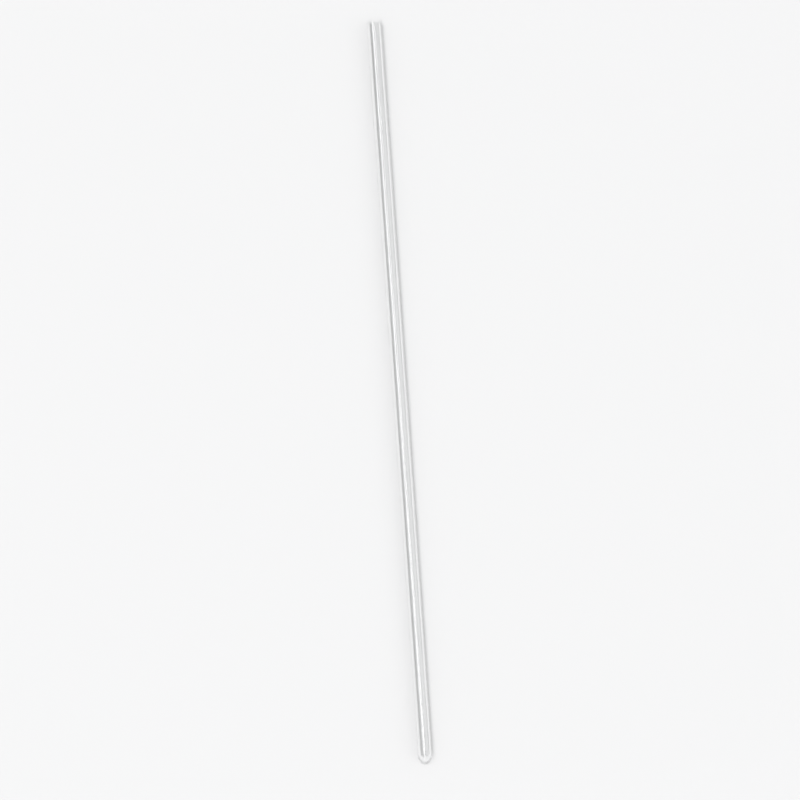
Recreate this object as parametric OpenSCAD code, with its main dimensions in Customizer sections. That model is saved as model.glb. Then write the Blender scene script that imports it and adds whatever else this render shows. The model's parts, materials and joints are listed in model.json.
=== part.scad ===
// A clear glass melting-point capillary, lying along X: one drawn tube, its far end
// melted shut in a flame and its mouth cut square and lightly glazed.
// Millimetres. The closed end points to -X, the mouth to +X, and Z = 0 is the surface
// that the tube lies on.

/* [Tube] */
// Overall length, from the closed tip to the mouth
tube_length = 80; // [50:1:120]
// Outside diameter of the drawn tube
outer_d = 1.55; // [1.4:0.05:2]
// Diameter of the bore
bore_d = 1.15; // [0.8:0.05:1.2]

/* [Closed end] */
// Thickness of the glass at the tip, where the melt gathers
tip_thickness = 0.45; // [0.3:0.05:1]
// How much longer than a half ball the outside's dome is
outer_stretch = 0.16; // [0.02:0.02:0.4]
// How much longer than a half ball the bore's closed end is
bore_stretch = 0.24; // [0.02:0.02:0.3]

/* [Mouth] */
// Radius that the flame leaves on both edges of the cut
edge_r = 0.06; // [0.02:0.01:0.09]

/* [Hidden] */
$fn = 96;

outer_r = outer_d / 2;
bore_r = bore_d / 2;
// Distance from the closed tip to where each straight wall begins
outer_start = outer_r + outer_stretch;
bore_start = tip_thickness + bore_r + bore_stretch;
cut_over = 1; // how far a cutting shape runs past what it cuts
glass_tint = [0.87, 0.93, 0.94, 0.4];

// Half section of a dome, X out from the axis: its base is on Y = 0 with its edge at
// X = r, and its nose points to -Y. A wide side arc leaves the wall without a corner and
// runs into a tighter nose arc, centred on the axis. The two centres are the ends of the
// long side of a 3-4-5 triangle, so the dome is r + stretch high and its nose has the
// radius r - stretch.
module half_dome(r, stretch) {
    side_r = r + 1.5 * stretch;
    nose_r = r - stretch;
    meet_y = -0.8 * side_r;
    intersection() {
        translate([r - side_r, 0]) circle(side_r);
        translate([0, meet_y]) square([r, -meet_y]);
    }
    intersection() {
        translate([0, -2 * stretch]) circle(nose_r);
        translate([0, meet_y - r]) square(r);
    }
}

// Half section of a round bar with a domed end, from the dome's base at Y = start to a
// flat end at Y = top.
module half_bar(r, stretch, start, top) {
    translate([0, start]) half_dome(r, stretch);
    translate([0, start]) square([r, top - start]);
}

// What the glazing takes off one edge of the mouth, with the middle of its round at the
// origin: a square, less the quarter round that stays.
module sharp_corner() {
    difference() {
        square(edge_r + cut_over);
        circle(edge_r);
    }
}

// Half section of the glass: the outside, less the bore and the mouth's two sharp edges.
module glass_section() {
    difference() {
        half_bar(outer_r, outer_stretch, outer_start, tube_length);
        half_bar(bore_r, bore_stretch, bore_start, tube_length + cut_over);
        translate([outer_r - edge_r, tube_length - edge_r]) sharp_corner();
        translate([bore_r + edge_r, tube_length - edge_r]) mirror([1, 0]) sharp_corner();
    }
}

// The whole tube, one piece of glass, laid on its side.
module capillary_tube() {
    color(glass_tint)
        translate([-tube_length / 2, 0, outer_r])
            rotate([0, 90, 0])
                rotate_extrude() glass_section();
}

capillary_tube();
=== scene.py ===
"""Looks for a clear glass melting-point capillary that lies on a pale studio floor.

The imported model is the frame: metres, +X along the tube from its melted tip to its open
mouth, +Z up, with the floor at Z = 0.
"""

import json
import math

import bpy
import numpy as np
from mathutils import Matrix, Vector


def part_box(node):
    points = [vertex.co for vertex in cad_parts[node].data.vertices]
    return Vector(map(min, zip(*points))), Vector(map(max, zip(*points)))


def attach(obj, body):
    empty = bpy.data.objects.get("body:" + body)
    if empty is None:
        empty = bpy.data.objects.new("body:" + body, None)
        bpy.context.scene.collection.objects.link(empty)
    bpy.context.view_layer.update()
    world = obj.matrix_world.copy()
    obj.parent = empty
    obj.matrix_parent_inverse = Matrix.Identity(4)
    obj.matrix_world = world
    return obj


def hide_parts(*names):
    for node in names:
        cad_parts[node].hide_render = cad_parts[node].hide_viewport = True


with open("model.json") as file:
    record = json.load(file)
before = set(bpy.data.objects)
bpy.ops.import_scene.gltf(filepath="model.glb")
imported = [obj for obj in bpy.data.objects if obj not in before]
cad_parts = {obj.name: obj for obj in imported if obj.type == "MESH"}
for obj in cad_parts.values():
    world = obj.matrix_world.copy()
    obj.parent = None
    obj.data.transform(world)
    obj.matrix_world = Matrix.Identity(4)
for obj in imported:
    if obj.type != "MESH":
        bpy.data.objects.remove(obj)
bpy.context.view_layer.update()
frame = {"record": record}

MM = 0.001

# The tube's own dimensions, from the frame
NODE = "capillary_tube"
tube_low, tube_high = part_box(NODE)
mounts = {mount["name"]: mount for mount in frame["record"]["mounts"]}
outside = mounts["tube_outside"]
bore = mounts["sample_bore"]
OUTER_R = outside["dims"]["r_mm"] * MM
BORE_R = bore["dims"]["r_mm"] * MM
AXIS_Z = outside["pos_m"][2]
TIP_X = tube_low.x
MOUTH_X = tube_high.x

# What the flame did to the two ends
EDGE_R = 0.06 * MM  # both edges of the mouth
TIP_THICKNESS = 0.45 * MM  # glass at the melted tip
straight_to = MOUTH_X - EDGE_R
outer_from = straight_to - outside["dims"]["length_mm"] * MM
bore_from = straight_to - bore["dims"]["length_mm"] * MM
outer_stretch = outer_from - TIP_X - OUTER_R
bore_stretch = bore_from - TIP_X - TIP_THICKNESS - BORE_R

# How finely the surface is divided
SIDES = 144
SIDE_STEPS = 14  # along a dome's side arc
NOSE_STEPS = 12  # along its nose arc
EDGE_STEPS = 8  # along a round edge of the mouth
WALL_STEP = 1.0 * MM  # between rings of the straight walls
MEET = math.asin(0.8)  # where a dome's side arc runs into its nose arc

# Glass
GLASS_IOR = 1.473  # a borosilicate glass's
GLASS_COLOUR = (0.998, 1.0, 0.999)
DEPTH_COLOUR = (0.953, 0.961, 0.957)
DEPTH_DENSITY = 150.0
LINES = (45.0, 2600.0, 2600.0)  # the draw lines' pattern, in turns a metre
LINE_DEPTH = 0.002 * MM
MELTED_TO = TIP_X + 2.0 * MM  # the flame has smoothed the lines away up to here
DRAWN_FROM = TIP_X + 8.0 * MM  # and from here on they are as they were drawn

# What each of the glass's surfaces lets through to the floor
HEAD_ON = (0.98, 0.98, 0.98)  # of a lamp's light that meets it head on
GRAZED = (0.05, 0.05, 0.05)  # of a lamp's light that grazes it
AROUND = (0.88, 0.88, 0.88)  # of the even light, which comes from everywhere
GRAZE_FROM = 0.33  # how far the surface is turned from the light: 0 is not, 1 is edge on
GRAZE_TO = 0.60

# Studio
BACKDROP = (0.925, 0.925, 0.93)
CEILING = (0.15, 0.15, 0.16)  # what is overhead, beyond the lamps
CEILING_FROM = math.sin(math.radians(13))
CEILING_TO = math.sin(math.radians(28))
FLOOR_COLOUR = (0.925, 0.925, 0.93)
FLOOR_HALF_WIDTH = 2.0
FADE_FROM = 0.08  # the floor starts to run into the backdrop this far from the tube
FADE_TO = 0.35  # and is the backdrop's own colour from here on
AMBIENT = 0.42  # strength of the even light
LOOK_AT = Vector((0.0, 0.0, AXIS_Z))

# Camera
LENS = 70.0
SENSOR = 36.0
VIEW_HEIGHT = 86.0 * MM  # what the frame's height takes in, at the tube
ELEVATION = math.radians(86)
LEAN = math.radians(4)  # how far the mouth leans to the left of the picture
CLIP_FROM = 0.005
CLIP_TO = 20.0

# Light goes round inside the tube's wall many times before it comes out
BOUNCES = 400

# The Mix node's sockets for colours, which share their names with those for numbers
MIX_FACTOR = 0
MIX_FIRST = 6
MIX_SECOND = 7
MIX_RESULT = 2


# ---------------------------------------------------------------- shapes


def dome(base_x, radius, stretch):
    """The outline of a domed end, from the wall to its pole, as X and radius.

    A wide side arc of radius r + 1.5 stretch, centred as far inside the wall as it is
    wide, runs to the angle whose sine is 0.8. There a nose arc of radius r - stretch
    takes over, centred on the axis 2 stretch beyond the base.
    """
    side_r = radius + 1.5 * stretch
    nose_r = radius - stretch
    side = np.linspace(0, MEET, SIDE_STEPS, endpoint=False)
    nose = np.linspace(MEET, math.pi / 2, NOSE_STEPS + 1)
    x = np.concatenate([side_r * np.sin(side), 2 * stretch + nose_r * np.sin(nose)])
    r = np.concatenate([radius - side_r + side_r * np.cos(side), nose_r * np.cos(nose)])
    return base_x - x, r


def mouth_edges():
    """The outline of the mouth from its outer wall to its bore: two quarter circles of
    the edge radius with the flat cut between them."""
    turn = np.linspace(0, math.pi / 2, EDGE_STEPS + 1)
    x = np.concatenate([np.sin(turn), np.cos(turn)])
    r = np.concatenate(
        [
            OUTER_R - EDGE_R + EDGE_R * np.cos(turn),
            BORE_R + EDGE_R - EDGE_R * np.sin(turn),
        ]
    )
    return straight_to + EDGE_R * x, r


def wall(start_x, end_x, radius):
    """A straight wall's rings between its two ends, at even steps, without the ends."""
    steps = math.ceil(abs(end_x - start_x) / WALL_STEP)
    x = np.linspace(start_x, end_x, steps + 1)[1:-1]
    return x, np.full_like(x, radius)


def tube_outline():
    """The tube's whole outline, from the outer pole round the mouth to the bore's pole."""
    tip_x, tip_r = dome(outer_from, OUTER_R, outer_stretch)
    end_x, end_r = dome(bore_from, BORE_R, bore_stretch)
    parts = [
        (tip_x[::-1], tip_r[::-1]),
        wall(outer_from, straight_to, OUTER_R),
        mouth_edges(),
        wall(straight_to, bore_from, BORE_R),
        (end_x, end_r),
    ]
    return np.concatenate([x for x, r in parts]), np.concatenate([r for x, r in parts])


def turned(name, x, r):
    """A closed surface of revolution about the tube's axis.

    Each point of the outline but its two ends becomes a ring: Y is r cos a and Z is
    r sin a over the axis, for equal steps of a. The two ends are single points.
    """
    rings = len(x) - 2
    angle = np.linspace(0, 2 * math.pi, SIDES, endpoint=False)
    points = np.empty((rings, SIDES, 3))
    points[:, :, 0] = x[1:-1, None]
    points[:, :, 1] = r[1:-1, None] * np.cos(angle)
    points[:, :, 2] = AXIS_Z + r[1:-1, None] * np.sin(angle)
    poles = np.array([[x[0], 0, AXIS_Z], [x[-1], 0, AXIS_Z]])
    verts = np.concatenate([points.reshape(-1, 3), poles])

    index = np.arange(rings * SIDES).reshape(rings, SIDES)
    after = np.roll(index, -1, axis=1)
    quads = np.stack([index[:-1], after[:-1], after[1:], index[1:]], axis=-1)
    first = np.full(SIDES, rings * SIDES)
    tip_fan = np.stack([first, after[0], index[0]], axis=-1)
    end_fan = np.stack([first + 1, index[-1], after[-1]], axis=-1)
    faces = quads.reshape(-1, 4).tolist() + tip_fan.tolist() + end_fan.tolist()

    mesh = bpy.data.meshes.new(name)
    mesh.from_pydata(verts.tolist(), [], faces)
    mesh.shade_smooth()
    mesh.update()
    return placed(name, mesh)


def placed(name, data):
    """A new object for some data, in the scene and at the origin."""
    made = bpy.data.objects.new(name, data)
    bpy.context.scene.collection.objects.link(made)
    return made


# ---------------------------------------------------------------- shader maths


class Wire:
    """A value in a node tree. A product of wires or numbers adds a Math node."""

    def __init__(self, tree, socket=None):
        self.tree = tree
        self.socket = socket

    def node(self, kind, settings=None, sockets=None, out=0):
        """Adds a node: its settings first, then each socket's value or wire."""
        made = self.tree.nodes.new(kind)
        for name, value in (settings or {}).items():
            setattr(made, name, value)
        for name, value in (sockets or {}).items():
            if isinstance(value, Wire):
                self.tree.links.new(value.socket, made.inputs[name])
            else:
                made.inputs[name].default_value = value
        return Wire(self.tree, made.outputs[out]) if made.outputs else made

    def beside(self, name):
        """Another output of the same node."""
        return Wire(self.tree, self.socket.node.outputs[name])

    def math(self, operation, *values):
        """A Math node on some values or wires."""
        return self.node(
            "ShaderNodeMath", {"operation": operation}, dict(enumerate(values))
        )

    def __mul__(self, other):
        return self.math("MULTIPLY", self, other)

    __rmul__ = __mul__


def emptied(owner):
    """Empties the node tree of a material or a world, and gives a wire to start it from."""
    owner.use_nodes = True
    owner.node_tree.nodes.clear()
    return Wire(owner.node_tree)


def mixed(factor, first, second):
    """The first shader where the factor is 0, and the second where it is 1."""
    return factor.node("ShaderNodeMixShader", sockets={0: factor, 1: first, 2: second})


# ---------------------------------------------------------------- materials


def smooth_step(value, low, high):
    """0 below low, 1 above high, and a smooth rise between them."""
    return value.node(
        "ShaderNodeMapRange",
        {"interpolation_type": "SMOOTHSTEP"},
        {"Value": value, "From Min": low, "From Max": high},
    )


def draw_lines(start):
    """A normal with faint long lines, which fade out towards the melted tip."""
    place = start.node("ShaderNodeTexCoord", out="Object")
    stretched = start.node("ShaderNodeMapping", sockets={"Vector": place, "Scale": LINES})
    lines = start.node(
        "ShaderNodeTexNoise",
        sockets={"Vector": stretched, "Scale": 1.0, "Detail": 2.0},
    )
    along = start.node("ShaderNodeSeparateXYZ", sockets={0: place}, out="X")
    drawn = smooth_step(along, MELTED_TO, DRAWN_FROM)
    return start.node(
        "ShaderNodeBump",
        sockets={"Height": lines * drawn, "Strength": 1.0, "Distance": LINE_DEPTH},
    )


def let_through(start, colour):
    """A shader that light goes straight through, dimmed by a colour."""
    return start.node("ShaderNodeBsdfTransparent", sockets={"Color": (*colour, 1.0)})


def clear_glass():
    """Clear glass with faint draw lines and a trace of grey-green in its depth.

    The light that reaches the floor goes straight through it. A lamp's light passes
    where it meets the surface head on and is lost where it grazes it, so the shadow is
    light in the middle and darkest along the tube's two sides.
    """
    material = bpy.data.materials.new("clear_glass")
    start = emptied(material)
    glass = start.node(
        "ShaderNodeBsdfPrincipled",
        sockets={
            "Base Color": (*GLASS_COLOUR, 1.0),
            "Roughness": 0.0,
            "IOR": GLASS_IOR,
            "Transmission Weight": 1.0,
            "Normal": draw_lines(start),
        },
    )
    facing = start.node("ShaderNodeLayerWeight", sockets={"Blend": 0.5}, out="Facing")
    grazing = smooth_step(facing, GRAZE_FROM, GRAZE_TO)
    lamp_light = mixed(grazing, let_through(start, HEAD_ON), let_through(start, GRAZED))
    to_lamp = start.node("ShaderNodeLightPath", out="Is Shadow Ray")
    off_floor = to_lamp.beside("Is Diffuse Ray")
    seen = mixed(off_floor, glass, let_through(start, AROUND))
    surface = mixed(to_lamp, seen, lamp_light)
    depth = start.node(
        "ShaderNodeVolumeAbsorption",
        sockets={"Color": (*DEPTH_COLOUR, 1.0), "Density": DEPTH_DENSITY},
    )
    start.node(
        "ShaderNodeOutputMaterial", sockets={"Surface": surface, "Volume": depth}
    )
    return material


def studio_floor():
    """A matt pale floor that runs into the backdrop's own colour away from the tube."""
    material = bpy.data.materials.new("studio_floor")
    start = emptied(material)
    place = start.node("ShaderNodeTexCoord", out="Object")
    far = start.node(
        "ShaderNodeVectorMath", {"operation": "LENGTH"}, {0: place}, out="Value"
    )
    matt = start.node("ShaderNodeBsdfDiffuse", sockets={"Color": (*FLOOR_COLOUR, 1.0)})
    glow = start.node("ShaderNodeEmission", sockets={"Color": (*BACKDROP, 1.0)})
    both = mixed(smooth_step(far, FADE_FROM, FADE_TO), matt, glow)
    start.node("ShaderNodeOutputMaterial", sockets={"Surface": both})
    return material


def studio_air():
    """The world: where the camera or the glass looks, a backdrop that is pale at the
    horizon and darker overhead, and a dimmer even light elsewhere."""
    world = bpy.data.worlds.new("studio_air")
    bpy.context.scene.world = world
    start = emptied(world)
    way = start.node("ShaderNodeTexCoord", out="Generated")
    height = start.node("ShaderNodeSeparateXYZ", sockets={0: way}, out="Z")
    colour = start.node(
        "ShaderNodeMix",
        {"data_type": "RGBA"},
        {
            MIX_FACTOR: smooth_step(height, CEILING_FROM, CEILING_TO),
            MIX_FIRST: (*BACKDROP, 1.0),
            MIX_SECOND: (*CEILING, 1.0),
        },
        out=MIX_RESULT,
    )
    camera = start.node("ShaderNodeLightPath", out="Is Camera Ray")
    glossy = camera.beside("Is Glossy Ray")
    through = camera.beside("Is Transmission Ray")
    looked_at = start.math("MAXIMUM", camera, start.math("MAXIMUM", glossy, through))
    light = start.node(
        "ShaderNodeBackground", sockets={"Color": (1, 1, 1, 1), "Strength": AMBIENT}
    )
    shown = start.node("ShaderNodeBackground", sockets={"Color": colour})
    both = mixed(looked_at, light, shown)
    start.node("ShaderNodeOutputWorld", sockets={"Surface": both})


# ---------------------------------------------------------------- studio


def aimed(made, place):
    """Puts an object at a place and turns its -Z towards the tube."""
    made.location = place
    made.rotation_mode = "QUATERNION"
    made.rotation_quaternion = (LOOK_AT - Vector(place)).to_track_quat("-Z", "Y")
    return made


def softbox(name, place, width, height, power):
    """An area lamp that faces the tube, its width along the tube."""
    lamp = bpy.data.lights.new(name, "AREA")
    lamp.shape = "RECTANGLE"
    lamp.size = width
    lamp.size_y = height
    lamp.energy = power
    return aimed(placed(name, lamp), place)


def floor_sheet():
    """A flat square floor under the tube, which faces up."""
    corners = np.array([(-1, -1, 0), (1, -1, 0), (1, 1, 0), (-1, 1, 0)])
    mesh = bpy.data.meshes.new("floor")
    mesh.from_pydata((FLOOR_HALF_WIDTH * corners).tolist(), [], [(0, 1, 2, 3)])
    floor = placed("floor", mesh)
    floor.data.materials.append(studio_floor())


def overhead_camera():
    """The camera over the tube, tipped towards its mouth, with the tip at the bottom."""
    lens = bpy.data.cameras.new("camera")
    lens.lens = LENS
    lens.sensor_width = SENSOR
    lens.clip_start = CLIP_FROM
    lens.clip_end = CLIP_TO
    camera = placed("camera", lens)
    distance = VIEW_HEIGHT * LENS / SENSOR
    back = Vector((math.cos(ELEVATION), 0.0, math.sin(ELEVATION)))
    upward = Vector((math.cos(LEAN), -math.sin(LEAN), 0.0))
    right = upward.cross(back).normalized()
    turn = Matrix((right, back.cross(right), back)).transposed()
    camera.location = LOOK_AT + back * distance
    camera.rotation_mode = "QUATERNION"
    camera.rotation_quaternion = turn.to_quaternion()
    bpy.context.scene.camera = camera


# ---------------------------------------------------------------- the scene

tube = turned("drawn_tube", *tube_outline())
tube.data.materials.append(clear_glass())
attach(tube, "root")
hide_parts(NODE)

floor_sheet()
studio_air()
softbox("key_softbox", (-0.10, 0.33, 1.40), width=1.40, height=0.50, power=11.6)
softbox("fill_softbox", (-0.30, -1.10, 1.20), width=1.20, height=1.20, power=5.1)
overhead_camera()

scene = bpy.context.scene
scene.view_settings.view_transform = "Standard"
# The denoiser goes by the picture alone: its other guides look through clear glass to all
# that lies behind it, and would leave the tube speckled
scene.cycles.denoising_input_passes = "RGB"
scene.cycles.max_bounces = BOUNCES
scene.cycles.glossy_bounces = BOUNCES
scene.cycles.transmission_bounces = BOUNCES
scene.cycles.caustics_refractive = False
scene.cycles.caustics_reflective = False
